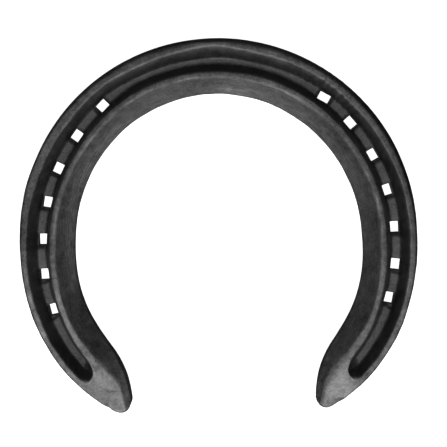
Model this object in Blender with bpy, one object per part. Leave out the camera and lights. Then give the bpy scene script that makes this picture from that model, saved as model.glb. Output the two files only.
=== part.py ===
"""A concave, creased horseshoe with punched nail holes, in metres.

The hoof side lies on z = 0 and the creased ground side faces up.
The toe points along +Y and the shoe is the same on both sides of x = 0.
"""
import math

import bmesh
import bpy
from mathutils import Vector

MM = 0.001

# Overall size. The outer edge of the toe is an arc of this radius.
TOE_RADIUS = 69.0 * MM
TOE_SWEEP = math.radians(84)   # of that arc, from the middle of the toe to each side
HEEL_REACH = 60.6 * MM         # from the toe circle's centre back to the heel tips
HEEL_GAP = 64.4 * MM           # clear width between the two heel tips
HEEL_TIP_RADIUS = 4.1 * MM
BAR_WIDTH = 19.2 * MM
THICKNESS = 9.5 * MM

# Across the bar, from the outer edge inwards. The concave slope takes the rest.
OUTER_RIM = 2.8 * MM
CREASE_OUTER_WALL = 3.1 * MM
CREASE_FLOOR = 3.2 * MM
CREASE_INNER_WALL = 1.6 * MM
INNER_RIM = 1.9 * MM
CREASE_DEPTH = 5.5 * MM
INNER_EDGE_HEIGHT = 2.7 * MM   # what the concave slope leaves at the inner edge
OUTER_DRAFT = 0.5 * MM         # how far the outer wall leans in, bottom to top
EDGE_BREAK = 0.4 * MM

# Where the crease ends, before the heels.
CREASE_PAST_NAILS = 27.2 * MM  # from the last nail hole to the crease's end
CREASE_END_LENGTH = 5.0 * MM

# Heels.
HEEL_RIM_GAIN = 1.4 * MM       # extra width of the flat between the last nail and the heel
HEEL_EDGE_HEIGHT = 5.5 * MM
WRAP_START = 2.3               # station where the slope starts to turn round the heel tip
WRAP_LEFT = 0.45               # share of the flat's width that is left where it ends

# Nail holes, in a line a little inside the middle of the crease floor.
NAILS_PER_SIDE = 7
NAIL_LINE = 8.2 * MM           # from the outer edge
FIRST_NAIL = 41.7 * MM         # along that line, from the middle of the toe
NAIL_PITCH = 12.9 * MM
NAIL_WIDTH = 2.9 * MM          # across the bar, at the hoof side
NAIL_LENGTH = 3.9 * MM         # along the bar, at the hoof side
SEAT_FLARE = 1.1 * MM          # growth of both up to the top of the punch mark
SEAT_RISE = 1.0 * MM           # height of that top above the crease floor

# Inner outline.
INNER_SET_BACK = 2.1 * MM      # inner toe curve's centre behind the outer one's
KNEE_OUT = 6.2 * MM            # inner knee, outwards from the heel tip
KNEE_FORWARD = 22.4 * MM       # inner knee, forwards from the heel tip's end
KNEE_ANGLE = math.radians(34.5)
TIP_ANGLE = math.radians(-60)  # where the outer edge meets the heel tip's rounding
TIP_TURN = math.radians(-120)  # where the last rib starts on that rounding

# Mesh fineness.
TOE_STEPS = 20
BRANCH_STEPS = 13
END_STEPS = 7
TIP_STEPS = 10

INNER_RADIUS = TOE_RADIUS - BAR_WIDTH
CENTRE_Y = (HEEL_REACH - TOE_RADIUS) / 2
TIP_CENTRE = Vector((HEEL_GAP / 2 + HEEL_TIP_RADIUS, HEEL_TIP_RADIUS - HEEL_REACH))
KNEE = Vector((HEEL_GAP / 2 + KNEE_OUT, KNEE_FORWARD - HEEL_REACH))
KNEE_HEADING = Vector((-math.sin(KNEE_ANGLE), -math.cos(KNEE_ANGLE)))
BACKWARDS = Vector((0, -1))
RIM_END = OUTER_RIM + CREASE_OUTER_WALL + CREASE_FLOOR + CREASE_INNER_WALL + INNER_RIM


def blend(low, high, share):
    return low + (high - low) * share


def smooth(value):
    held = min(max(value, 0), 1)
    return held * held * (3 - 2 * held)


def bezier(start, start_arm, end_arm, end, share):
    """A point of a cubic curve whose two arms are given as vectors from its ends."""
    rest = 1 - share
    first = start * rest ** 3 + (start + start_arm) * 3 * rest ** 2 * share
    return first + (end + end_arm) * 3 * rest * share ** 2 + end * share ** 3


def tip_point(angle):
    return TIP_CENTRE + HEEL_TIP_RADIUS * Vector((math.cos(angle), math.sin(angle)))


def toe_end(half_width, depth, set_back):
    """Where a toe curve ends at the side, and its heading there."""
    place = Vector((half_width * math.sin(TOE_SWEEP), depth * math.cos(TOE_SWEEP) - set_back))
    heading = Vector((half_width * math.cos(TOE_SWEEP), -depth * math.sin(TOE_SWEEP)))
    return place, heading.normalized()


def outer_point(station):
    """Outer edge: stations 0 to 1 are the toe, 1 to 2 the branch, 2 to 3 the heel tip."""
    if station <= 1:
        angle = station * TOE_SWEEP
        return TOE_RADIUS * Vector((math.sin(angle), math.cos(angle)))
    if station <= 2:
        start, heading = toe_end(TOE_RADIUS, TOE_RADIUS, 0)
        end_arm = Vector((-math.sin(TIP_ANGLE), math.cos(TIP_ANGLE))) * 0.295 * TOE_RADIUS
        return bezier(start, heading * 0.51 * TOE_RADIUS, end_arm, tip_point(TIP_ANGLE),
                      station - 1)
    return tip_point(blend(TIP_ANGLE, TIP_TURN, station - 2))


def inner_point(station):
    """Inner edge, paired with the outer edge station by station."""
    depth = INNER_RADIUS + INNER_SET_BACK
    if station <= 1:
        angle = station * TOE_SWEEP
        return Vector((INNER_RADIUS * math.sin(angle), depth * math.cos(angle) - INNER_SET_BACK))
    if station <= 2:
        start, heading = toe_end(INNER_RADIUS, depth, INNER_SET_BACK)
        return bezier(start, heading * 0.425 * INNER_RADIUS,
                      KNEE_HEADING * -0.262 * INNER_RADIUS, KNEE, station - 1)
    return bezier(KNEE, KNEE_HEADING * 0.336 * KNEE_FORWARD,
                  BACKWARDS * -0.22 * KNEE_FORWARD, tip_point(-math.pi), station - 2)


def point_across(station, share):
    """A point of the bar in plan: share 0 is the outer edge and 1 the inner edge."""
    outer = outer_point(station)
    inner = inner_point(station)
    straight = outer.lerp(inner, share)
    if station <= 2.5:
        return straight
    # The last rib bends out to the heel tip's rounding.
    bulge = smooth((station - 2.5) * 2)
    rounding = tip_point(blend(TIP_TURN, -math.pi, share))
    return straight.lerp(rounding, bulge)


def nail_line_lengths():
    """Running length along the nail line at evenly spaced stations."""
    count = 600
    stations = [3 * index / count for index in range(count + 1)]
    points = [point_across(station, NAIL_LINE / BAR_WIDTH) for station in stations]
    lengths = [0]
    for before, after in zip(points, points[1:]):
        lengths.append(lengths[-1] + (after - before).length)
    return stations, lengths


STATIONS, LENGTHS = nail_line_lengths()


def station_at(length):
    for index, reached in enumerate(LENGTHS):
        if reached >= length:
            before = LENGTHS[index - 1] if index else 0
            share = (length - before) / (reached - before) if index else 0
            return blend(STATIONS[max(index - 1, 0)], STATIONS[index], share)
    return STATIONS[-1]


def length_at(station):
    place = station / 3 * (len(STATIONS) - 1)
    index = min(int(place), len(STATIONS) - 2)
    return blend(LENGTHS[index], LENGTHS[index + 1], place - index)


LAST_NAIL = FIRST_NAIL + (NAILS_PER_SIDE - 1) * NAIL_PITCH
CREASE_END = min(LAST_NAIL + CREASE_PAST_NAILS, length_at(2.1))
HEEL_START = CREASE_END - CREASE_END_LENGTH


def bar_width(station):
    return (inner_point(station) - outer_point(station)).length


def crease_end_share(length):
    """0 along the crease, rising to 1 at its very end."""
    return min(max((length - HEEL_START) / CREASE_END_LENGTH, 0), 1)


def crease_points(past, scale):
    """The crease's cross-section as (distance from the outer edge, height).

    At its end the crease closes onto the nail line: its lips follow a
    quarter ellipse, and its floor narrows as it ramps up to the flat.
    """
    lip = EDGE_BREAK
    wall_foot = OUTER_RIM + CREASE_OUTER_WALL
    floor_end = wall_foot + CREASE_FLOOR
    rim_start = floor_end + CREASE_INNER_WALL
    lips_open = math.sqrt(1 - past ** 2) if past < 1 else 0.6
    floor_open = 1 - past if past < 1 else 0.6
    depth_left = 1 - past
    full = [
        (OUTER_RIM - lip / 2, 0, lips_open),
        (OUTER_RIM + lip / 2, lip, lips_open),
        (wall_foot, CREASE_DEPTH, floor_open),
        (floor_end, CREASE_DEPTH, floor_open),
        (rim_start - lip / 4, lip, lips_open),
        (rim_start + lip / 2, 0, lips_open),
    ]
    points = []
    for across, depth, opening in full:
        narrowed = NAIL_LINE + (across - NAIL_LINE) * opening
        points.append((narrowed * scale, THICKNESS - depth * depth_left))
    return points


def flat_width(station):
    """From the outer edge to the top of the concave slope."""
    past_nails = (length_at(station) - LAST_NAIL) / (length_at(2) - LAST_NAIL)
    full = RIM_END + HEEL_RIM_GAIN * smooth(past_nails)
    if station <= 2:
        return full
    wrap = smooth((station - WRAP_START) / (3 - WRAP_START))
    return full * bar_width(station) / bar_width(2) * blend(1, WRAP_LEFT, wrap)


def section(station):
    """One closed cross-section, as (share across the bar, height), from the hoof side round."""
    length = length_at(station)
    width = bar_width(station)
    top = flat_width(station)
    scale = min(top / RIM_END, 1)
    heel = smooth((length - HEEL_START) / (LENGTHS[-1] - HEEL_START))
    edge_height = blend(INNER_EDGE_HEIGHT, HEEL_EDGE_HEIGHT, heel)
    edge = EDGE_BREAK * scale
    points = [
        (edge, 0),
        (0, EDGE_BREAK),
        (OUTER_DRAFT * scale, THICKNESS - 1.5 * EDGE_BREAK),
        (OUTER_DRAFT * scale + 1.5 * edge, THICKNESS),
    ]
    points += crease_points(crease_end_share(length), scale)
    points += [
        (top - edge, THICKNESS),
        (top + edge, THICKNESS - EDGE_BREAK),
        (width - edge, edge_height),
        (width, edge_height - EDGE_BREAK),
        (width, EDGE_BREAK),
        (width - edge, 0),
    ]
    points += [(width * share / 4, 0) for share in (3, 2, 1)]
    return [(across / width, height) for across, height in points]


def rib(station):
    """One cross-section in place."""
    places = []
    for share, height in section(station):
        plan = point_across(station, share)
        places.append((plan.x, plan.y + CENTRE_Y, height))
    return places


def stations():
    """Ribs spaced evenly, with extra ones through the crease's rounded end."""
    found = [index / TOE_STEPS for index in range(TOE_STEPS)]
    branch_start = length_at(1)
    for index in range(BRANCH_STEPS):
        found.append(station_at(blend(branch_start, HEEL_START, index / BRANCH_STEPS)))
    for index in range(END_STEPS + 1):
        angle = index / END_STEPS * math.pi / 2
        found.append(station_at(HEEL_START + CREASE_END_LENGTH * math.sin(angle)))
    last = found[-1]
    for index in range(TIP_STEPS):
        found.append(blend(last, 3, (index + 1) / TIP_STEPS))
    return found


def new_object(name, mesh):
    item = bpy.data.objects.new(name, mesh)
    bpy.context.scene.collection.objects.link(item)
    return item


def mirror_across_middle(item):
    mirror = item.modifiers.new("other_half", "MIRROR")
    mirror.use_axis = (True, False, False)
    mirror.merge_threshold = 0.00001


def half_shoe():
    """The bar from the middle of the toe to one heel tip."""
    mesh = bpy.data.meshes.new("shoe")
    build = bmesh.new()
    ribs = [[build.verts.new(place) for place in rib(station)] for station in stations()]
    for before, after in zip(ribs, ribs[1:]):
        for index in range(len(before)):
            after_index = (index + 1) % len(before)
            build.faces.new((before[index], before[after_index],
                             after[after_index], after[index]))
    cap = build.faces.new(ribs[-1])
    bmesh.ops.triangulate(build, faces=[cap])
    bmesh.ops.recalc_face_normals(build, faces=build.faces)
    build.to_mesh(mesh)
    build.free()
    return new_object("shoe", mesh)


def punch_corners(length):
    """Eight corners of one tapered punch, standing on the nail line."""
    station = station_at(length)
    share = NAIL_LINE / bar_width(station)
    centre = point_across(station, share)
    ahead = point_across(station_at(length + MM), share)
    along = (ahead - centre).normalized()
    sideways = Vector((-along.y, along.x))
    top = THICKNESS - CREASE_DEPTH + SEAT_RISE
    bottom = -2 * MM
    corners = []
    for height in (bottom, top):
        flare = SEAT_FLARE * height / top
        half_width = (NAIL_WIDTH + flare) / 2
        half_length = (NAIL_LENGTH + flare) / 2
        for side, end in ((-1, -1), (1, -1), (1, 1), (-1, 1)):
            plan = centre + sideways * side * half_width + along * end * half_length
            corners.append((plan.x, plan.y + CENTRE_Y, height))
    return corners


def nail_punches():
    """One side's punches as a single cutter."""
    mesh = bpy.data.meshes.new("nail_punches")
    build = bmesh.new()
    for index in range(NAILS_PER_SIDE):
        corners = [build.verts.new(place)
                   for place in punch_corners(FIRST_NAIL + index * NAIL_PITCH)]
        build.faces.new(corners[3::-1])
        build.faces.new(corners[4:])
        for side in range(4):
            turn = (side + 1) % 4
            build.faces.new((corners[side], corners[turn], corners[turn + 4],
                             corners[side + 4]))
    bmesh.ops.recalc_face_normals(build, faces=build.faces)
    build.to_mesh(mesh)
    build.free()
    cutter = new_object("nail_punches", mesh)
    cutter.hide_render = True
    cutter.display_type = "WIRE"
    return cutter


def forged_steel():
    material = bpy.data.materials.new("forged_steel")
    material.use_nodes = True
    shader = material.node_tree.nodes["Principled BSDF"]
    shader.inputs["Base Color"].default_value = (0.055, 0.055, 0.057, 1)
    shader.inputs["Metallic"].default_value = 0.9
    shader.inputs["Roughness"].default_value = 0.4
    return material


def clear_scene():
    for item in list(bpy.data.objects):
        bpy.data.objects.remove(item, do_unlink=True)


def build_shoe():
    clear_scene()
    shoe = half_shoe()
    shoe.data.materials.append(forged_steel())
    shoe.data.shade_smooth()
    shoe.data.set_sharp_from_angle(angle=math.radians(25))
    mirror_across_middle(shoe)
    punches = nail_punches()
    mirror_across_middle(punches)
    cut = shoe.modifiers.new("nail_holes", "BOOLEAN")
    cut.operation = "DIFFERENCE"
    cut.solver = "EXACT"
    cut.object = punches


build_shoe()
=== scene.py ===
import math
from collections import namedtuple

import bpy
from mathutils import Matrix, Vector, noise


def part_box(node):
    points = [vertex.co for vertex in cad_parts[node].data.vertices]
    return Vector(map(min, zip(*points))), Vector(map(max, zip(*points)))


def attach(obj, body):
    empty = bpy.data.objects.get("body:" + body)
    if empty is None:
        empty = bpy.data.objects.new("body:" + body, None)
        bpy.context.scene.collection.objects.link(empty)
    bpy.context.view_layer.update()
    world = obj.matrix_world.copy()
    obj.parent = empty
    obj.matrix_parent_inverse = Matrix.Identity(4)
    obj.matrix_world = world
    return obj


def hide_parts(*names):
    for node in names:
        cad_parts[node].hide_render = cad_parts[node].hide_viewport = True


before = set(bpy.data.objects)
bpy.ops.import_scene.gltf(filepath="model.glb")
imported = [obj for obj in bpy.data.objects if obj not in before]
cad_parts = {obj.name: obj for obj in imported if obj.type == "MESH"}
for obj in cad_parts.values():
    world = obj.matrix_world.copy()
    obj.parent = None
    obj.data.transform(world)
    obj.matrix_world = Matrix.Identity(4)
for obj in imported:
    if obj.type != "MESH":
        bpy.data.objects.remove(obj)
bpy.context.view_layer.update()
boxLow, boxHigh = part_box("shoe")
millimetre = 0.001
print("frame loaded")


# The bar, in mm and radians. Its plan is the CAD node's; the box gives the thickness.
# Pairs are for the left and the right branch, unless a note says otherwise.
shoe = {
    "toeRadius": 69.0,
    "toeSweep": math.radians(84),
    "heelReach": 60.6,
    "heelGap": 64.4,
    "tipRadius": 4.1,
    "tipAngle": math.radians(-60),
    "tipTurn": math.radians(-120),
    "barWidth": 19.2,
    "thickness": (boxHigh.z - boxLow.z) / millimetre,
    "outerRim": 2.8,
    "outerWall": 3.1,
    "floor": 3.2,
    "innerWall": 1.6,
    "innerRim": 1.9,
    "creaseDepth": 5.5,
    "creasePastNails": 27.2,
    "creaseEnd": 5.0,
    "creaseShort": (1.6, 0),          # how much sooner the crease stops
    "creaseClosed": 0.6,              # beyond its end the crease's corners lie flat, this share apart
    "floorClosing": 1.6,              # how late the floor narrows as the crease closes
    # before the first nails the crease floor is narrower by these, at its outer and at its inner side
    "toeNarrowing": (0.66, 0.33),
    "toeNarrow": (22, 40),            # where it starts to widen, where it is full
    # hand-forged wander: how far a line of the section lies further in, where along the bar, over what reach
    "creaseWander": [(1.1, -64, 40), (0.4, 60, 36)],
    "lipWander": [(0.45, -24, 22), (-0.8, 0, 11), (0.25, 18, 12)],
    "footWander": [(-0.4, 3, 10)],
    # finer unevenness: amount, how quickly it changes along the bar, which row and column of the noise
    "lipUneven": [(0.22, 0.07, 3.1, 0), (0.10, 0.35, 9.7, 0)],
    "rimUneven": [(0.25, 0.06, 5.3, 2), (0.08, 0.4, 1.9, 4)],
    "innerEdge": 2.7,
    "heelEdge": 5.5,
    "tipEdge": (7.6, 6.8),            # height of the inner edge where the slope wraps round the tips
    "tipZone": (11, 9),               # how far before the tip that starts, over what length it comes
    "heelRimGain": 1.4,
    "draft": 0.5,
    "hoofRounding": 0.6,              # of the corners of the section
    "outerRounding": 1.1,
    "lipRounding": 0.7,
    "wallFootRounding": 0.9,
    "floorEndRounding": (1.2, 0.6),   # at the toe, on the branches
    "floorEndChange": (28, 14),       # where that changes, over what length
    "innerLipRounding": 0.6,
    "slopeTopRounding": (0.8, 2.4),   # at the toe, at the heels
    "insideRounding": (0.7, 2.4),     # on the branches, at the tips
    "roundingShare": 0.42,            # of the shorter stretch beside a corner, at most
    "leastRounding": 0.004,
    "wrapStart": 2.3,                 # station where the heel flat starts to wrap round the tip
    "wrapLeft": 0.3,                  # share of its width that is left at the tip
    "setBack": 2.1,
    "kneeOut": 6.2,
    "kneeForward": 22.4,
    "kneeAngle": math.radians(34.5),
    "outerArms": (0.51, 0.295),       # start and end handles of the outer branch curve, of the toe radius
    "innerArms": (0.425, 0.262),      # of the inner branch curve, of the inner toe radius
    "kneeArms": (0.336, 0.22),        # of the curve from the knee to the tip, of kneeForward
    "tipStart": 2.5,                  # station where the lines across the bar start to turn round the tip
    "tipRounding": 1.9,               # of the ground edge round the heel tips
    "tipRoundingFrom": (0.15, 0.5),   # of the tip radius: where that edge starts, over what length it comes
    "cornerSteps": 4,
    "ribs": 330,                      # along the bar, from the middle of the toe to where the crease closes
    "endRibs": 16,
    "heelRibs": 40,
    "tipRibs": 26,
    "tipCrowding": 1.6,               # brings the last ribs closer together towards the rounded edge
    "sharpAngle": math.radians(40),   # edges sharper than this are shaded sharp
}

nails = {
    "first": 41.7,
    "pitch": 12.9,
    "line": 8.2,
    "width": 2.9,
    "length": 4.0,
    "flare": 0.3,
    "rise": 0.6,
    "below": 2,               # how far a punch reaches below the hoof side
    "seatLength": 1.3,        # of the sunk seat beyond each end of a hole
    "seatDepth": 0.7,
    "seatWall": 1.2,          # how far up the crease walls the seat is felt
    # punched by hand: how far each hole sits along and across from its even place, and its turn in degrees
    "left": [
        (0.0, 0.2, -5), (0.9, 0.6, 0), (1.2, 0.5, 2), (0.8, 0.4, -3),
        (1.1, 0.0, -2), (0.4, -0.5, 5), (0.1, -0.3, 7),
    ],
    "right": [
        (-0.6, 0.0, 9), (-1.0, 0.3, 0), (-0.4, 0.5, 2), (-0.1, 0.4, 2),
        (0.2, -0.1, -2), (0.2, -0.6, -1), (-0.8, -0.2, 6),
    ],
}

innerRadius = shoe["toeRadius"] - shoe["barWidth"]
centreY = boxHigh.y / millimetre - shoe["toeRadius"]
tipCentre = Vector((shoe["heelGap"] / 2 + shoe["tipRadius"], shoe["tipRadius"] - shoe["heelReach"]))
knee = Vector((shoe["heelGap"] / 2 + shoe["kneeOut"], shoe["kneeForward"] - shoe["heelReach"]))
kneeHeading = Vector((-math.sin(shoe["kneeAngle"]), -math.cos(shoe["kneeAngle"])))
backwards = Vector((0, -1))
floorStart = shoe["outerRim"] + shoe["outerWall"]
floorEnd = floorStart + shoe["floor"]
innerLip = floorEnd + shoe["innerWall"]
rimEnd = innerLip + shoe["innerRim"]


def mix(low, high, share):
    return low + (high - low) * share


def onSide(pair, side):
    return pair[0] if side < 0 else pair[1]


def smooth(value):
    held = min(max(value, 0), 1)
    return held * held * (3 - 2 * held)


def rise(value, start, reach):
    return smooth((value - start) / reach)


def fall(value, end, reach):
    return smooth((end - value) / reach)


def bump(value, centre, reach):
    return smooth(1 - abs(value - centre) / reach)


def bumps(listed, value):    # each: amount, centre, reach
    return sum(amount * bump(value, centre, reach) for amount, centre, reach in listed)


def bezier(start, startArm, endArm, end, share):
    rest = 1 - share
    near = start * rest ** 3 + (start + startArm) * 3 * rest ** 2 * share
    return near + (end + endArm) * 3 * rest * share ** 2 + end * share ** 3


def tipPoint(angle):
    return tipCentre + shoe["tipRadius"] * Vector((math.cos(angle), math.sin(angle)))


def toeEnd(halfWidth, depth, setBack):
    sweep = shoe["toeSweep"]
    place = Vector((halfWidth * math.sin(sweep), depth * math.cos(sweep) - setBack))
    return place, Vector((halfWidth * math.cos(sweep), -depth * math.sin(sweep))).normalized()


def outerPoint(station):    # 0 to 1 is the toe, 1 to 2 the branch, 2 to 3 the heel tip
    radius = shoe["toeRadius"]
    if station <= 1:
        angle = station * shoe["toeSweep"]
        return radius * Vector((math.sin(angle), math.cos(angle)))
    if station <= 2:
        start, heading = toeEnd(radius, radius, 0)
        startArm, endArm = shoe["outerArms"]
        tipHeading = Vector((-math.sin(shoe["tipAngle"]), math.cos(shoe["tipAngle"])))
        return bezier(start, heading * startArm * radius, tipHeading * endArm * radius,
                      tipPoint(shoe["tipAngle"]), station - 1)
    return tipPoint(mix(shoe["tipAngle"], shoe["tipTurn"], station - 2))


def innerPoint(station):
    depth = innerRadius + shoe["setBack"]
    if station <= 1:
        angle = station * shoe["toeSweep"]
        return Vector((innerRadius * math.sin(angle), depth * math.cos(angle) - shoe["setBack"]))
    if station <= 2:
        start, heading = toeEnd(innerRadius, depth, shoe["setBack"])
        startArm, endArm = shoe["innerArms"]
        return bezier(start, heading * startArm * innerRadius, kneeHeading * -endArm * innerRadius,
                      knee, station - 1)
    startArm, endArm = shoe["kneeArms"]
    return bezier(knee, kneeHeading * startArm * shoe["kneeForward"],
                  backwards * -endArm * shoe["kneeForward"], tipPoint(-math.pi), station - 2)


def pointAcross(station, share):
    straight = outerPoint(station).lerp(innerPoint(station), share)
    if station <= shoe["tipStart"]:
        return straight
    rounding = tipPoint(mix(shoe["tipTurn"], -math.pi, min(max(share, 0), 1)))
    return straight.lerp(rounding, rise(station, shoe["tipStart"], 3 - shoe["tipStart"]))


def barWidthAt(station):
    return (innerPoint(station) - outerPoint(station)).length


# Length along the nail line at each station, to be read both ways.
stationCount = 900
lineShare = nails["line"] / shoe["barWidth"]
stationGrid = [3 * index / stationCount for index in range(stationCount + 1)]
lengthGrid = [0]
for before, after in zip(stationGrid, stationGrid[1:]):
    step = pointAcross(after, lineShare) - pointAcross(before, lineShare)
    lengthGrid.append(lengthGrid[-1] + step.length)


def lengthAt(station):
    place = station / 3 * stationCount
    index = min(int(place), stationCount - 1)
    return mix(lengthGrid[index], lengthGrid[index + 1], place - index)


def stationAt(length):
    low, high = 0, stationCount
    while high - low > 1:
        middle = (low + high) // 2
        if lengthGrid[middle] < length:
            low = middle
        else:
            high = middle
    share = (length - lengthGrid[low]) / (lengthGrid[high] - lengthGrid[low])
    return mix(stationGrid[low], stationGrid[high], min(max(share, 0), 1))


lastNail = nails["first"] + (len(nails["left"]) - 1) * nails["pitch"]
creaseEnd = lastNail + shoe["creasePastNails"]
fullLength = lengthGrid[-1]
tipZoneStart = fullLength - shoe["tipZone"][0]


def closingStart(side):    # where the crease begins to close
    return creaseEnd - shoe["creaseEnd"] - onSide(shoe["creaseShort"], side)


def nailPlaces(side):    # length along the nail line, distance from the outer edge, turn
    places = []
    for index, (along, across, turn) in enumerate(onSide((nails["left"], nails["right"]), side)):
        length = nails["first"] + index * nails["pitch"] + along
        places.append((length, nails["line"] + across, math.radians(turn)))
    return places


def seatAt(length, side):    # 1 beside a nail hole, 0 clear of its sunk seat
    nearest = min(abs(length - place) for place, across, turn in nailPlaces(side))
    return fall(nearest, nails["length"] / 2 + nails["seatLength"], nails["seatLength"])


def flatWidth(station):    # from the outer edge to the top of the concave slope
    full = rimEnd + shoe["heelRimGain"] * rise(lengthAt(station), lastNail, lengthAt(2) - lastNail)
    if station <= 2:
        return full
    wrap = rise(station, shoe["wrapStart"], 3 - shoe["wrapStart"])
    return full * barWidthAt(station) / barWidthAt(2) * mix(1, shoe["wrapLeft"], wrap)


def unevenness(listed, signed):
    return sum(amount * noise.noise(Vector((signed * rate, row, column)))
               for amount, rate, row, column in listed)


# A corner of the section; points and part are of the stretch from it to the next corner.
sectionCorner = namedtuple("sectionCorner", "across height rounding points part")


def sectionCorners(station, side):
    top = shoe["thickness"]
    length = lengthAt(station)
    signed = length * side
    flat = flatWidth(station)
    width = barWidthAt(station)
    scale = min(flat / rimEnd, 1)
    past = min(max((length - closingStart(side)) / shoe["creaseEnd"], 0), 1)
    lipsOpen = math.sqrt(1 - past ** 2) if past < 1 else shoe["creaseClosed"]
    floorOpen = 1 - past ** shoe["floorClosing"] if past < 1 else shoe["creaseClosed"]
    depth = shoe["creaseDepth"] * (1 - past ** 2)
    fade = min((1 - past) * 2, 1)
    lean = bumps(shoe["creaseWander"], signed)
    lipShift = unevenness(shoe["lipUneven"], signed) + bumps(shoe["lipWander"], signed)
    rimShift = unevenness(shoe["rimUneven"], signed)

    def inCrease(across, opening):
        return (nails["line"] + (across + lean * opening - nails["line"]) * opening) * scale

    heel = rise(length, closingStart(1), fullLength - closingStart(1))
    soft = rise(length, lastNail, creaseEnd - lastNail)
    tip = rise(length, tipZoneStart, shoe["tipZone"][1])
    narrowStart, narrowEnd = shoe["toeNarrow"]
    narrow = 1 - rise(length, narrowStart, narrowEnd - narrowStart)
    narrowOuter, narrowInner = shoe["toeNarrowing"]
    wallFoot = floorStart + narrow * narrowOuter + bumps(shoe["footWander"], signed)
    edge = mix(mix(shoe["innerEdge"], shoe["heelEdge"], heel), onSide(shoe["tipEdge"], side), tip)
    floorEndRounding = mix(*shoe["floorEndRounding"], rise(length, *shoe["floorEndChange"]))
    slopeTop = flat + (lean + rimShift) * (1 - heel)
    corners = [
        (0, 0, shoe["hoofRounding"], 5, "outside"),
        (shoe["draft"] * scale, top, shoe["outerRounding"] * scale, 4, "outerRim"),
        (inCrease(shoe["outerRim"] + lipShift, lipsOpen), top, shoe["lipRounding"] * fade, 5, "outerWall"),
        (inCrease(wallFoot, floorOpen), top - depth, shoe["wallFootRounding"] * fade, 4, "floor"),
        (inCrease(floorEnd - narrow * narrowInner, floorOpen), top - depth, floorEndRounding * fade, 4,
         "innerWall"),
        (inCrease(innerLip, lipsOpen), top, shoe["innerLipRounding"] * fade, 6, "innerRim"),
        (slopeTop, top, mix(*shoe["slopeTopRounding"], soft) * scale, 9, "slope"),
        (width, edge, mix(*shoe["insideRounding"], tip) * scale, 2, "insideEdge"),
        (width, 0, shoe["hoofRounding"], 7, "hoofSide"),
    ]
    return [sectionCorner(*corner) for corner in corners]


def roundedSection(corners):    # each point: its place, and what it is on
    places = [Vector((corner.across, corner.height)) for corner in corners]
    count = len(corners)
    reach = []
    for index, corner in enumerate(corners):
        previous = (places[index - 1] - places[index]).length
        following = (places[(index + 1) % count] - places[index]).length
        most = shoe["roundingShare"] * min(previous, following)
        reach.append(max(min(corner.rounding, most), shoe["leastRounding"]))
    found = []
    for index, corner in enumerate(corners):
        here = places[index]
        after = (index + 1) % count
        back = (places[index - 1] - here).normalized()
        ahead = (places[after] - here).normalized()
        start = here + back * reach[index]
        end = here + ahead * reach[index]
        for step in range(shoe["cornerSteps"] + 1):
            share = step / shoe["cornerSteps"]
            bend = start * (1 - share) ** 2 + here * 2 * share * (1 - share) + end * share ** 2
            found.append((bend, corner.part if share > 0.5 else corners[index - 1].part))
        nextStart = places[after] - ahead * reach[after]
        for step in range(corner.points):
            found.append((end.lerp(nextStart, (step + 1) / (corner.points + 1)), corner.part))
    return found


def barStations(side):
    heelStart = closingStart(side)
    found = [stationAt(heelStart * index / shoe["ribs"]) for index in range(shoe["ribs"])]
    for index in range(shoe["endRibs"] + 1):
        angle = index / shoe["endRibs"] * math.pi / 2
        found.append(stationAt(heelStart + shoe["creaseEnd"] * math.sin(angle)))
    first = found[-1]
    for index in range(shoe["heelRibs"]):
        found.append(mix(first, shoe["tipStart"], (index + 1) / shoe["heelRibs"]))
    for index in range(shoe["tipRibs"]):
        share = (index + 1) / shoe["tipRibs"]
        found.append(mix(shoe["tipStart"], 3, 1 - (1 - share) ** shoe["tipCrowding"]))
    return found


def tipDrop(plan):    # how far the surface has fallen at this point, close to the heel tip's edge
    rounding = shoe["tipRounding"]
    away = plan - tipCentre
    start, reach = shoe["tipRoundingFrom"]
    past = rise(-away.y, start * shoe["tipRadius"], reach * shoe["tipRadius"])
    inside = min(max(shoe["tipRadius"] - away.length, 0), rounding)
    return past * (rounding - math.sqrt(rounding ** 2 - (rounding - inside) ** 2))


# The outer lip and inner rim are rubbed, and the wall foot gets a painted highlight: the stretch that each
# begins, and over what distance.
wornEdgesAndHighlight = [("outerWall", 1.0), ("slope", 1.1), ("floor", 1.2)]

# What is known of a point: its stretch, closeness to each rubbed edge and to the painted highlight at the
# wall foot, length along the bar (left is negative), distance run round the section, place in the section,
# distance from the top of the slope.
pointFact = namedtuple("pointFact", "part edges along run across height inset")


def sweptRib(station, side):
    width = barWidthAt(station)
    along = lengthAt(station) * side
    corners = sectionCorners(station, side)
    starts = {corner.part: Vector((corner.across, corner.height)) for corner in corners}
    section = roundedSection(corners)
    half = shoe["thickness"] / 2
    points = []
    facts = []
    run = 0
    previous = section[0][0]
    for place, part in section:
        run += (place - previous).length
        previous = place
        plan = pointAcross(station, place.x / width)
        height = place.y
        if height > half:
            height -= min(tipDrop(plan), height - half)
        points.append(Vector((plan.x * side, plan.y + centreY, height)))
        edges = [fall((place - starts[stretch]).length, reach, reach) for stretch, reach in wornEdgesAndHighlight]
        facts.append(pointFact(part, edges, along, run, place.x, place.y, flatWidth(station) - place.x))
    return points, facts


def buildShoe():
    ribs = []
    facts = []
    for side in (-1, 1):
        stations = barStations(side)
        for station in stations[:0:-1] if side < 0 else stations:
            points, ribFacts = sweptRib(station, side)
            ribs.append(points)
            facts += ribFacts
    ringSize = len(ribs[0])
    faces = []
    for rib in range(len(ribs) - 1):
        first = rib * ringSize
        for index in range(ringSize):
            other = (index + 1) % ringSize
            faces.append((first + index, first + other, first + ringSize + other, first + ringSize + index))
    total = len(ribs) * ringSize
    faces.append(tuple(range(ringSize - 1, -1, -1)))
    faces.append(tuple(range(total - ringSize, total)))
    mesh = bpy.data.meshes.new("shoe")
    mesh.from_pydata([point for points in ribs for point in points], [], faces)
    mesh.update()
    return mesh, facts


mesh, facts = buildShoe()
print("bar swept:", len(mesh.vertices), "points")


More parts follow.
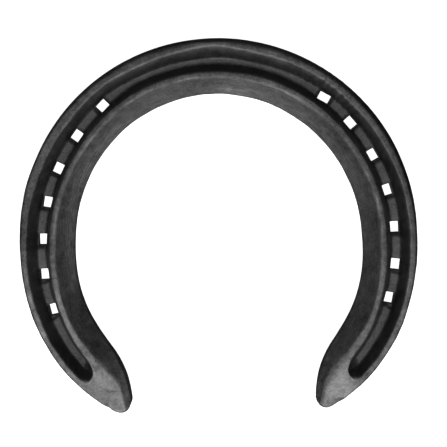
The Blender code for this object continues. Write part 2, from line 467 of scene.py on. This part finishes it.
# Forging marks, along each point's own normal, in mm.
forging = {
    # depth, how close together, where the noise is read from
    "marks": [
        (0.16, 0.08, Vector((0, 0, 0))),     # slow unevenness
        (0.09, 0.26, Vector((7, 0, 0))),     # hammer dents
        (0.035, 1.1, Vector((0, 5, 0))),     # scale pits
    ],
    "hoofFlat": 1.5,           # they fade out over this height above the hoof side
    "ripple": 0.13,            # cross marks on the right of the toe
    "rippleInnerRim": 0.3,     # share of them there
    "rippleStart": (24, 8),    # where they start, over what length they come
    "rippleEnd": (60, 14),
    "rippleStep": 2.5,
    "rippleDrift": (3, 0.2),   # how unevenly they are spaced, and how quickly that changes
}


def relief(place, part, along):
    amount = sum(depth * noise.noise(place * rate + offset) for depth, rate, offset in forging["marks"])
    if part in ("outerRim", "outside", "outerWall", "innerRim") and along >= 0:
        window = rise(along, *forging["rippleStart"]) * fall(along, *forging["rippleEnd"])
        drift, rate = forging["rippleDrift"]
        turns = along / forging["rippleStep"]
        wave = math.sin(turns * 2 * math.pi + drift * noise.noise(place * rate))
        share = forging["rippleInnerRim"] if part == "innerRim" else 1
        amount += forging["ripple"] * window * wave * share
    return amount


normals = [vertex.normal.copy() for vertex in mesh.vertices]
floorHeight = shoe["thickness"] - shoe["creaseDepth"]
for vertex, normal, fact in zip(mesh.vertices, normals, facts):
    fade = rise(fact.height, 0, forging["hoofFlat"])
    vertex.co += normal * relief(vertex.co, fact.part, fact.along) * fade
    if fact.part in ("floor", "outerWall", "innerWall"):
        deep = 1 - rise(fact.height, floorHeight, nails["seatWall"])
        vertex.co.z -= nails["seatDepth"] * seatAt(abs(fact.along), fact.along) * deep
    vertex.co.z = min(max(vertex.co.z, 0), shoe["thickness"])
    vertex.co *= millimetre
print("forging marks added")


# Where the finish, the painted shade and the painted highlight change, in mm along the bar (left is
# negative) or across it.
finishAndPaintedLight = {
    "flatDepth": 0.5,                   # the ground face is what lies less than this below the top
    "rimRub": (0.85, 0.4),              # how bright the rims are rubbed towards the heels
    "rimRubStart": (28, 32),            # how far before the last nail that starts, over what length
    "padStart": (9, 11),                # the rubbed heel flat, likewise before the crease's end
    "borderStart": (4, 6),              # its darker border
    "padBorder": (1.6, 5.0),            # width of that border
    "padBorderDark": 0.85,
    "tipBorder": 1.6,                   # how much closer to the edge the border keeps at the very tip
    "padBright": (0.1, 0.32),           # how much brighter the flat is than the rims
    "outerWallPaintedShade": (0.35, 35, 30),    # painted shade of the outer crease wall: darkness at the toe, where it grows, over what length
    # painted shade of the inner crease wall at the toe: where it starts to fade, over what length
    "innerWallPaintedShade": (35, 15),
    "paintedSeatShade": (0.6, 0.4),             # painted shade round the nail seats: from this share of the crease's depth, over this much of it
    "slopeScuffs": [(1, 9, 13), (0.7, -22, 9)],     # strength, place, reach
    "lowScuff": (14.2, 3.5),            # distance across where the low part of the slope starts
    "lowScuffStart": (22, 22),
    "lowScuffEnd": (112, 14),
    "lowScuffLeft": 1.9,
    "lowScuffRight": (1.7, 0.6),        # before and after the change
    "lowScuffChange": (60, 25),
    "toeScuff": (1.7, 12, 26),
    "toeScuffAcross": (15, 2),
    "lipRubLeft": (75, 30),             # the left outer lip is rubbed up to here, the right one is
    "lipRubRight": (95, 30),            # rubbed less from here on
    "lipRubLost": 0.6,
    "crownRub": (0.35, 0.6),            # of the inner rim
    "crownRubs": [(1, -52, 16), (1, -29, 9), (1, -7, 12), (1, 30, 10), (1, -92, 20), (1, 88, 34)],
    "footHighlight": (42, 12),                # the painted highlight of the wall foot, up to here
    "footHighlights": [(1.6, 2, 12)],
    "wrapZone": (12, 8),                # the brighter wrap: how far before the tip, over what length
    "wrapRub": (1, 0.4),
    "wrapParts": {"slope": 0.8, "insideEdge": 1.5},
    "paintedOuterEdgeShade": [(1, 74, 50)],       # painted shade: darker stretches of the outer rim's edge, this close to it
    "outerStripAcross": (0.6, 1.4),
    "paintedOuterRimShade": [(0.45, -20, 30)],     # painted shade of its whole width, and of the inner rim
    "paintedInnerRimShade": [(0.6, -36, 32)],
    "scarAlong": (6.7, 2.4),            # a bright scar low on the slope
    "scarAcross": (17.3, 1.0),
    "heelPivots": (Vector((40.5, -56.5)), Vector((26, -82))),    # which the rubbing marks turn about
}


def heelBrightness(vertex, fact, length):
    onTop = fact.height > shoe["thickness"] - finishAndPaintedLight["flatDepth"]
    if not onTop or fact.part in ("slope", "outside", "insideEdge"):
        return 0
    rimStart, rimReach = finishAndPaintedLight["rimRubStart"]
    rims = onSide(finishAndPaintedLight["rimRub"], fact.along) * rise(length, lastNail - rimStart, rimReach)
    padStart, padReach = finishAndPaintedLight["padStart"]
    bright = mix(rims, 1, rise(length, creaseEnd - padStart, padReach))
    away = Vector((abs(vertex.co.x), vertex.co.y)) / millimetre - Vector((0, centreY)) - tipCentre
    tipInset = shoe["tipRadius"] - away.length if away.y < 0 else shoe["tipRadius"]
    inset = min(fact.inset, tipInset * finishAndPaintedLight["tipBorder"])
    borderStart, borderReach = finishAndPaintedLight["borderStart"]
    heel = rise(length, creaseEnd - borderStart, borderReach)
    border = 1 - rise(inset, 0, onSide(finishAndPaintedLight["padBorder"], fact.along))
    bright *= 1 - heel * finishAndPaintedLight["padBorderDark"] * border
    return bright * (1 + heel * onSide(finishAndPaintedLight["padBright"], fact.along))


# painted shade deep in the crease, on its walls
def wallPaintedShade(fact, length):
    if fact.part == "outerWall":
        toeDark, start, reach = finishAndPaintedLight["outerWallPaintedShade"]
        return mix(toeDark, 1, rise(length, start, reach))
    if fact.part == "innerWall":
        return 1 - rise(length, *finishAndPaintedLight["innerWallPaintedShade"])
    return 0


# painted shade, deep in the crease beside each nail hole
def seatPaintedShade(fact, length):
    if fact.part not in ("outerWall", "floor", "innerWall"):
        return 0
    depth = (shoe["thickness"] - fact.height) / shoe["creaseDepth"]
    return seatAt(length, fact.along) * rise(depth, *finishAndPaintedLight["paintedSeatShade"])


def slopeScuff(fact, length):
    if fact.part not in ("slope", "insideEdge"):
        return 0
    low = rise(fact.across, *finishAndPaintedLight["lowScuff"]) * rise(length, *finishAndPaintedLight["lowScuffStart"])
    low *= 1 - rise(length, *finishAndPaintedLight["lowScuffEnd"])
    right = mix(*finishAndPaintedLight["lowScuffRight"], rise(length, *finishAndPaintedLight["lowScuffChange"]))
    low *= onSide((finishAndPaintedLight["lowScuffLeft"], right), fact.along)
    toe = bumps([finishAndPaintedLight["toeScuff"]], fact.along) * rise(fact.across, *finishAndPaintedLight["toeScuffAcross"])
    return bumps(finishAndPaintedLight["slopeScuffs"], fact.along) + low + toe


def edgeRubsAndHighlight(fact, length):
    outerLip, innerCrown, wallFoot = fact.edges
    lipRight = 1 - finishAndPaintedLight["lipRubLost"] * rise(length, *finishAndPaintedLight["lipRubRight"])
    outerLip *= onSide((fall(length, *finishAndPaintedLight["lipRubLeft"]), lipRight), fact.along)
    innerCrown *= onSide(finishAndPaintedLight["crownRub"], fact.along) + bumps(finishAndPaintedLight["crownRubs"], fact.along)
    # the wall foot's bright line is a painted highlight
    footHighlight = fall(length, *finishAndPaintedLight["footHighlight"]) + bumps(finishAndPaintedLight["footHighlights"], fact.along)
    wallFoot *= footHighlight if fact.part == "floor" else 0
    return outerLip, innerCrown, wallFoot, 1


def spotsAndPaintedRimShade(fact, length):
    wrapStart, wrapReach = finishAndPaintedLight["wrapZone"]
    wrap = rise(length, fullLength - wrapStart, wrapReach) * finishAndPaintedLight["wrapParts"].get(fact.part, 0)
    wrap *= onSide(finishAndPaintedLight["wrapRub"], fact.along)
    # painted shade on the outer rim's edge, across the outer rim and on the inner rim
    paintedRimShade = 0
    if fact.part in ("outerRim", "outside"):
        edge = 1 - rise(fact.across, *finishAndPaintedLight["outerStripAcross"])
        paintedRimShade = bumps(finishAndPaintedLight["paintedOuterEdgeShade"], fact.along) * edge + bumps(finishAndPaintedLight["paintedOuterRimShade"], fact.along)
    elif fact.part == "innerRim":
        paintedRimShade = bumps(finishAndPaintedLight["paintedInnerRimShade"], fact.along)
    scar = 0
    if fact.part == "slope":
        scar = bump(fact.along, *finishAndPaintedLight["scarAlong"]) * bump(fact.across, *finishAndPaintedLight["scarAcross"])
    return wrap, paintedRimShade, scar, 1


def fanAt(vertex):    # angle about the rubbing marks' pivot, distance from it in cm
    plan = Vector((abs(vertex.co.x), vertex.co.y)) / millimetre
    away = plan - onSide(finishAndPaintedLight["heelPivots"], vertex.co.x)
    return math.atan2(away.y, away.x), away.length / 10


# What the finish, its painted shade and its painted highlight need to know, on each face corner.
layers = {
    "grain": [],    # length along the bar and run across the surface, in cm
    "fan": [],
    "zones": [],    # heel flats, painted shade of the crease walls, slope
    "marks": [],    # rims, painted shade round the nail seats, scuffs on the slope
    "edges": [],    # rubbed outer lip, rubbed inner rim, painted highlight at the wall foot
    "spots": [],    # tip wrap, painted shade on the rims, scar
}
for vertex, fact in zip(mesh.vertices, facts):
    length = abs(fact.along)
    onRim = 1 if fact.part in ("outerRim", "innerRim") else 0
    onSlope = 1 if fact.part == "slope" else 0
    layers["grain"].append((fact.along / 10, fact.run / 10))
    layers["fan"].append(fanAt(vertex))
    layers["zones"].append((heelBrightness(vertex, fact, length), wallPaintedShade(fact, length), onSlope, 1))
    layers["marks"].append((onRim, seatPaintedShade(fact, length), slopeScuff(fact, length), 1))
    layers["edges"].append(edgeRubsAndHighlight(fact, length))
    layers["spots"].append(spotsAndPaintedRimShade(fact, length))
loopPoints = [loop.vertex_index for loop in mesh.loops]
for name, values in layers.items():
    numbers = [number for point in loopPoints for number in values[point]]
    if name in ("grain", "fan"):
        mesh.uv_layers.new(name=name).data.foreach_set("uv", numbers)
    else:
        layer = mesh.color_attributes.new(name=name, type="FLOAT_COLOR", domain="CORNER")
        layer.data.foreach_set("color", numbers)
mesh.shade_smooth()
print("finish marked on the surface")


class Value:
    tree = None

    def __init__(self, socket):
        self.socket = socket

    @classmethod
    def node(cls, kind, settings=None, **inputs):
        made = cls.tree.nodes.new(kind)
        for name, setting in (settings or {}).items():
            setattr(made, name, setting)
        for name, value in inputs.items():
            place = int(name[1:]) if name[1:].isdigit() else name.replace("_", " ")    # i0, i1 or its name
            cls.feed(made.inputs[place], value)
        return made

    @classmethod
    def feed(cls, socket, value):
        if isinstance(value, cls):
            cls.tree.links.new(value.socket, socket)
        else:
            socket.default_value = value

    @classmethod
    def maths(cls, operation, first, second, clamp=False):
        made = cls.node("ShaderNodeMath", {"operation": operation, "use_clamp": clamp}, i0=first, i1=second)
        return cls(made.outputs[0])

    def __add__(self, other):
        return self.maths("ADD", self, other)

    def __radd__(self, other):
        return self.maths("ADD", other, self)

    def __sub__(self, other):
        return self.maths("SUBTRACT", self, other)

    def __rsub__(self, other):
        return self.maths("SUBTRACT", other, self)

    def __mul__(self, other):
        return self.maths("MULTIPLY", self, other)

    def __rmul__(self, other):
        return self.maths("MULTIPLY", other, self)

    def spread(self, amount):    # a noise about its middle
        return (self - 0.5) * amount

    def between(self, low, high):    # 0 at low, 1 at high, smooth between
        made = self.node("ShaderNodeMapRange", {"interpolation_type": "SMOOTHSTEP"},
                         Value=self, From_Min=low, From_Max=high)
        return Value(made.outputs[0])

    def clamped(self):
        return self.maths("ADD", self, 0.0, clamp=True)


def newMaterial(name):
    material = bpy.data.materials.new(name)
    material.use_nodes = True
    Value.tree = material.node_tree
    return material, material.node_tree.nodes["Principled BSDF"]


def noiseAt(place, scale, detail, roughness, stretch=(1, 1, 1)):
    turned = Value.node("ShaderNodeMapping", None, Vector=place, Scale=stretch)
    made = Value.node("ShaderNodeTexNoise", None, Vector=Value(turned.outputs[0]),
                      Scale=scale, Detail=detail, Roughness=roughness)
    return Value(made.outputs[0])


def splitColour(name):
    attribute = Value.node("ShaderNodeAttribute", {"attribute_name": name})
    parts = Value.node("ShaderNodeSeparateColor", None, Color=Value(attribute.outputs["Color"]))
    return [Value(parts.outputs[index]) for index in range(3)]


steel = {
    "tone": 0.085,              # base reflectance of the black scale
    "evenShare": 0.76,          # of it that is there everywhere
    "wornAndHighlightTone": 0.16,           # bare steel on rubbed edges, and the painted highlight at the wall foot
    "heelTone": 0.26,           # what is added where the heels are rubbed bright
    "heelEven": 0.62,
    "scuffTone": (0.012, 0.16),     # on the slope: everywhere, and along its streaks
    "scarTone": 0.12,
    "wrapShare": 0.4,           # of the heel tone, where the flat wraps round the tips
    # noises: size, detail, roughness, stretch
    "cloud": (70, 4, 0.6),
    "mottle": (330, 6, 0.68),
    "speck": (1500, 4, 0.65),
    "drawn": (5, 6, 0.62, (0.30, 7, 1)),      # streaks along the bar
    "crossed": (7, 5, 0.6, (4, 0.6, 1)),      # faint marks across it
    "fan": (5, 3, 0.5, (0.7, 0.3, 1)),        # rubbing marks on the heel flats
    # the stretch of a noise that counts, from none to full
    "patchRange": (0.42, 0.62),               # cloud, for the rubbed patches of the inner rim
    "rubRange": (0.3, 0.62),                  # drawn, for all rubbed edges and the painted highlight at the wall foot
    "fanRange": (0.35, 0.65),
    "fanFade": (0.1, 0.7),                    # cm from the fan's pivot
    "scarRange": (0.35, 0.6),                 # mottle
    "streakLevel": 0.42,                      # drawn, above which a streak is scuffed
    "scuffEven": 0.6,
    "scuffMottle": 0.8,
    "rubEven": 0.3,
    # how much a noise changes the tone
    "scaleSpread": (1.3, 1.5, 1.8),           # cloud, mottle, speck
    "slopeSpread": (2.4, 0.9),                # drawn, crossed
    "rimSpread": (1.3, 0.9),                  # mottle, crossed
    "heelSpread": (0.34, 1.2, 0.7),           # fan, mottle, speck
    "paintedWallShadeStrength": 0.45,
    "paintedSeatShade": 0.4,
    "paintedRimShadeStrength": 0.5,
    "rubsAndHighlight": (0.8, 0.45, 0.75, 0.6),           # rubbed outer lip, inner rim, its patches, and the painted highlight at the wall foot
    "roughness": 0.45,
    "roughSpread": (0.40, 0.2, 0.3),          # mottle, speck, drawn on the slope
    "roughHeel": 0.06,
    "smoothRubs": 0.08,
    "scaleMetallic": 0.35,      # the scale is half stone, half metal
    "bareMetallic": 0.9,
    "bumpStrength": 0.7,
    "bumpDistance": 0.0004,
    "bumps": (0.8, 0.25, 0.25, 0.9, 0.6, 0.5),    # mottle, speck, drawn, drawn on the slope, rims, heels
}


# black scale and bare steel, with painted shade on the crease walls, round the nail seats and on the rims,
# and a painted highlight at the wall foot
def forgedSteel():
    material, shader = newMaterial("forgedSteel")
    objectPlace = Value(Value.node("ShaderNodeTexCoord").outputs["Object"])
    grainPlace = Value(Value.node("ShaderNodeUVMap", {"uv_map": "grain"}).outputs[0])
    fanPlace = Value(Value.node("ShaderNodeUVMap", {"uv_map": "fan"}).outputs[0])
    heelFlat, paintedWallShade, slope = splitColour("zones")
    rims, paintedSeatShading, scuff = splitColour("marks")
    outerLip, innerCrown, wallFoot = splitColour("edges")
    wrap, paintedRimShade, scar = splitColour("spots")

    cloud = noiseAt(objectPlace, *steel["cloud"])
    mottle = noiseAt(objectPlace, *steel["mottle"])
    speck = noiseAt(objectPlace, *steel["speck"])
    drawn = noiseAt(grainPlace, *steel["drawn"])
    crossed = noiseAt(grainPlace, *steel["crossed"])
    fanLines = noiseAt(fanPlace, *steel["fan"])
    fanDistance = Value(Value.node("ShaderNodeSeparateXYZ", None, Vector=fanPlace).outputs[1])
    patches = cloud.between(*steel["patchRange"])

    cloudSpread, mottleSpread, speckSpread = steel["scaleSpread"]
    scale = steel["evenShare"] + cloud.spread(cloudSpread)
    scale = scale + mottle.spread(mottleSpread) + speck.spread(speckSpread)
    tone = steel["tone"] * scale
    drawnSpread, crossedSpread = steel["slopeSpread"]
    tone = tone * (1 + slope * (drawn.spread(drawnSpread) + crossed.spread(crossedSpread)))
    mottleSpread, crossedSpread = steel["rimSpread"]
    tone = tone * (1 + rims * (mottle.spread(mottleSpread) + crossed.spread(crossedSpread)))
    # painted shade deep round the nail seats
    # painted shade on the crease walls
    tone = tone * (1 - paintedWallShade * steel["paintedWallShadeStrength"]) * (1 - paintedSeatShading * steel["paintedSeatShade"])
    # painted shade on the rims
    tone = tone * (1 - paintedRimShade * steel["paintedRimShadeStrength"])

    lipRub, rimRub, patchRub, footHighlight = steel["rubsAndHighlight"]
    # rubbed bare outer lip and inner rim, and a painted highlight along the wall foot
    rubbedAndHighlight = outerLip * lipRub + innerCrown * (rimRub + patches * patchRub) + wallFoot * footHighlight
    rubbedAndHighlight = rubbedAndHighlight * drawn.between(*steel["rubRange"])
    tone = tone + rubbedAndHighlight * steel["wornAndHighlightTone"] * (steel["rubEven"] + mottle)
    evenScuff, streakScuff = steel["scuffTone"]
    streaks = (drawn - steel["streakLevel"]).clamped() * streakScuff
    mottled = steel["scuffEven"] + mottle * steel["scuffMottle"]
    tone = tone + scuff * slope * (evenScuff + streaks) * mottled
    tone = tone + scar * steel["scarTone"] * mottle.between(*steel["scarRange"])

    fanSpread, mottleSpread, speckSpread = steel["heelSpread"]
    fanMarks = fanLines.between(*steel["fanRange"]).spread(fanSpread)
    fanMarks = fanMarks * fanDistance.between(*steel["fanFade"])
    rubbedHeel = steel["heelEven"] + fanMarks + mottle.spread(mottleSpread) + speck.spread(speckSpread)
    tone = (tone + (heelFlat + wrap * steel["wrapShare"]) * steel["heelTone"] * rubbedHeel).clamped()
    colour = Value.node("ShaderNodeCombineColor", None, Red=tone, Green=tone, Blue=tone)
    Value.feed(shader.inputs["Base Color"], Value(colour.outputs[0]))

    mottleSpread, speckSpread, drawnSpread = steel["roughSpread"]
    roughness = steel["roughness"] + mottle.spread(mottleSpread) + speck.spread(speckSpread)
    roughness = roughness + drawn.spread(drawnSpread) * slope
    roughness = roughness + heelFlat * steel["roughHeel"] - rubbedAndHighlight * steel["smoothRubs"]
    Value.feed(shader.inputs["Roughness"], roughness.clamped())

    bare = (heelFlat + rubbedAndHighlight).clamped()
    metallic = steel["scaleMetallic"] + bare * (steel["bareMetallic"] - steel["scaleMetallic"])
    Value.feed(shader.inputs["Metallic"], metallic)

    mottleBump, speckBump, drawnBump, slopeBump, rimBump, heelBump = steel["bumps"]
    height = mottle * mottleBump + speck * speckBump + drawn * (drawnBump + slope * slopeBump)
    height = height + crossed * rims * rimBump + fanLines * heelFlat * heelBump
    bumpNode = Value.node("ShaderNodeBump", None, Strength=steel["bumpStrength"],
                          Distance=steel["bumpDistance"], Height=height)
    Value.feed(shader.inputs["Normal"], Value(bumpNode.outputs[0]))
    return material


# Nail holes, punched square through the crease floor.
def nailPunches():
    vertices = []
    faces = []
    top = floorHeight + nails["rise"]
    for side in (-1, 1):
        for length, line, turn in nailPlaces(side):
            station = stationAt(length)
            share = line / barWidthAt(station)
            centre = pointAcross(station, share)
            alongWay = (pointAcross(stationAt(length + 1), share) - centre).normalized()
            alongWay.rotate(Matrix.Rotation(turn, 2))
            sideWay = Vector((-alongWay.y, alongWay.x))
            first = len(vertices)
            for height in (-nails["below"], top):
                flare = nails["flare"] * height / top
                halfWidth = (nails["width"] + flare) / 2
                halfLength = (nails["length"] + flare) / 2
                for across, end in ((-1, -1), (1, -1), (1, 1), (-1, 1)):
                    plan = centre + sideWay * across * halfWidth + alongWay * end * halfLength
                    vertices.append(Vector((plan.x * side, plan.y + centreY, height)) * millimetre)
            for face in ((0, 3, 2, 1), (4, 5, 6, 7), (0, 1, 5, 4), (1, 2, 6, 5), (2, 3, 7, 6), (3, 0, 4, 7)):
                turned = face if side < 0 else face[::-1]
                faces.append(tuple(first + corner for corner in turned))
    punches = bpy.data.meshes.new("nailPunches")
    punches.from_pydata(vertices, [], faces)
    punches.update()
    return bpy.data.objects.new("nailPunches", punches)


def cutHoles(piece):
    cutter = nailPunches()
    bpy.context.scene.collection.objects.link(cutter)
    cut = piece.modifiers.new("holes", "BOOLEAN")
    cut.operation = "DIFFERENCE"
    cut.solver = "EXACT"
    cut.object = cutter
    bpy.context.view_layer.update()
    depsgraph = bpy.context.evaluated_depsgraph_get()
    finished = bpy.data.meshes.new_from_object(piece.evaluated_get(depsgraph),
                                               preserve_all_data_layers=True, depsgraph=depsgraph)
    piece.modifiers.clear()
    piece.data = finished
    bpy.data.objects.remove(cutter)


shoePiece = bpy.data.objects.new("forgedShoe", mesh)
bpy.context.scene.collection.objects.link(shoePiece)
cutHoles(shoePiece)
shoePiece.data.set_sharp_from_angle(angle=shoe["sharpAngle"])
shoePiece.data.materials.clear()
shoePiece.data.materials.append(forgedSteel())
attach(shoePiece, "root")
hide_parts("shoe")
print("nail holes cut:", len(shoePiece.data.polygons), "faces")


# Floor, light and camera. Distances in metres, except the aim, which is in mm from the toe arc's centre.
studio = {
    "floorSize": 6,
    "floorGap": 0.0003,
    "floorTone": 0.9,
    "floorRoughness": 0.9,
    "floorGlow": 1.0,
    "ambient": 0.01,
    # name, place, width, height, power
    "lights": [
        ("overhead", (0, -0.1, 1.4), 1.2, 1.2, 9.2),
        ("heelLow", (0, -1.5, 0.4), 1.6, 0.7, 15),
        ("heelHigh", (0, -1.2, 1.0), 1.4, 0.6, 5.8),
        ("leftSide", (-1.4, -0.2, 0.5), 0.8, 0.8, 1.4),
        ("rightSide", (1.4, -0.2, 0.5), 0.8, 0.8, 0.7),
        ("toeLow", (0, 1.6, 0.12), 1.6, 0.3, 3.0),
    ],
    "lens": 200,
    "sensor": 36,
    "farthest": 20,
    "distance": 0.8652,
    "toeTilt": math.radians(8.5),
    "sideTilt": math.radians(2.5),
    "turn": math.radians(1.99),
    "aimRight": 1.74,
    "aimUp": 4.30,
}


def buildFloor():
    half = studio["floorSize"] / 2
    height = boxLow.z - studio["floorGap"]
    signs = ((-1, -1), (1, -1), (1, 1), (-1, 1))
    corners = [(across * half, along * half, height) for across, along in signs]
    plane = bpy.data.meshes.new("floor")
    plane.from_pydata(corners, [], [(0, 1, 2, 3)])
    material, shader = newMaterial("paleFloor")
    shader.inputs["Base Color"].default_value = (*[studio["floorTone"]] * 3, 1)
    shader.inputs["Roughness"].default_value = studio["floorRoughness"]
    shader.inputs["Emission Color"].default_value = (1, 1, 1, 1)
    shader.inputs["Emission Strength"].default_value = studio["floorGlow"]
    plane.materials.append(material)
    piece = bpy.data.objects.new("floor", plane)
    bpy.context.scene.collection.objects.link(piece)
    piece.visible_glossy = False
    piece.visible_diffuse = False


def areaLight(name, place, width, height, power):    # aimed at the shoe
    lamp = bpy.data.lights.new(name, "AREA")
    lamp.shape = "RECTANGLE"
    lamp.size = width
    lamp.size_y = height
    lamp.energy = power
    holder = bpy.data.objects.new(name, lamp)
    bpy.context.scene.collection.objects.link(holder)
    holder.location = place
    holder.rotation_euler = (-Vector(place)).to_track_quat("-Z", "Y").to_euler()


def lightScene():
    world = bpy.data.worlds.new("studio")
    world.use_nodes = True
    background = world.node_tree.nodes["Background"]
    background.inputs["Color"].default_value = (1, 1, 1, 1)
    background.inputs["Strength"].default_value = studio["ambient"]
    bpy.context.scene.world = world
    for light in studio["lights"]:
        areaLight(*light)


def placeCamera():
    camera = bpy.data.cameras.new("camera")
    camera.lens = studio["lens"]
    camera.sensor_width = studio["sensor"]
    camera.clip_end = studio["farthest"]
    holder = bpy.data.objects.new("camera", camera)
    bpy.context.scene.collection.objects.link(holder)
    toeTilt, sideTilt, turn = studio["toeTilt"], studio["sideTilt"], studio["turn"]
    level = math.cos(sideTilt)
    back = Vector((math.sin(sideTilt), math.sin(toeTilt) * level, math.cos(toeTilt) * level))
    right = Vector((0, 1, 0)).cross(back).normalized()
    up = back.cross(right)
    viewRight = right * math.cos(turn) - up * math.sin(turn)
    viewUp = right * math.sin(turn) + up * math.cos(turn)
    arcCentre = Vector((0, centreY * millimetre, 0))
    target = arcCentre + (viewRight * studio["aimRight"] + viewUp * studio["aimUp"]) * millimetre
    place = target + back * studio["distance"]
    axes = Matrix((viewRight, viewUp, back)).transposed().to_4x4()
    holder.matrix_world = Matrix.Translation(place) @ axes
    bpy.context.scene.camera = holder


buildFloor()
lightScene()
placeCamera()
bpy.context.scene.view_settings.view_transform = "Standard"
print("floor, lights and camera placed")
